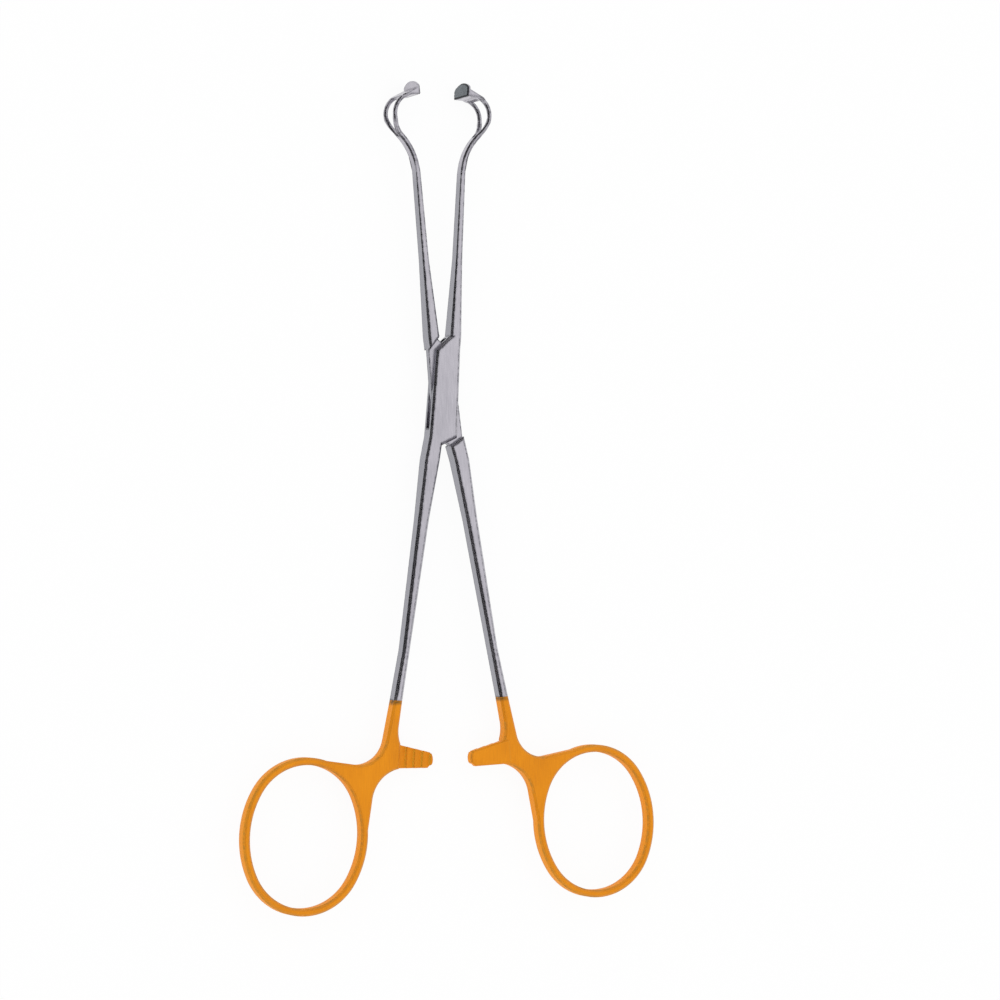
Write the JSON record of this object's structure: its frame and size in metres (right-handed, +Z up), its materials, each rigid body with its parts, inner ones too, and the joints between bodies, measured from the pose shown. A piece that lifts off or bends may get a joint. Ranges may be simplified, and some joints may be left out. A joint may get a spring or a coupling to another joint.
{
  "type": "babcock tissue forceps",
  "caption": "Ring-handled tissue forceps with a box lock, a ratchet, gold-coloured handles and fenestrated, outward-curved jaws that meet at narrow hard gripping plates.",
  "frame": {"origin": "on the lower flat of the box lock, at the pivot axis", "axes": "+X across the instrument to the right jaw, +Y along it from the finger rings to the jaws, +Z up along the pivot axis, out of the upper flat"},
  "size_m": [0.1076, 0.1969, 0.008],
  "materials": {
    "satin_steel": "satin stainless steel",
    "hard_plate": "dark grey sintered hard metal, cross-cut",
    "gold_plating": "stainless steel with satin gold-coloured plating"
  },
  "bodies": {
    "female": {"female_half": "satin_steel", "female_jaw_insert": "hard_plate", "female_ring_handle": "gold_plating", "pivot_pin": "satin_steel"},
    "male": {"male_half": "satin_steel", "male_jaw_insert": "hard_plate", "male_ring_handle": "gold_plating"}
  },
  "joints": [
    {"name": "box_lock_pivot", "type": "hinge", "parent": "female", "child": "male", "pos_m": [0, 0, 0.0021], "axis": [0, 0, 1], "range_deg": [-9.7, 20]}
  ]
}
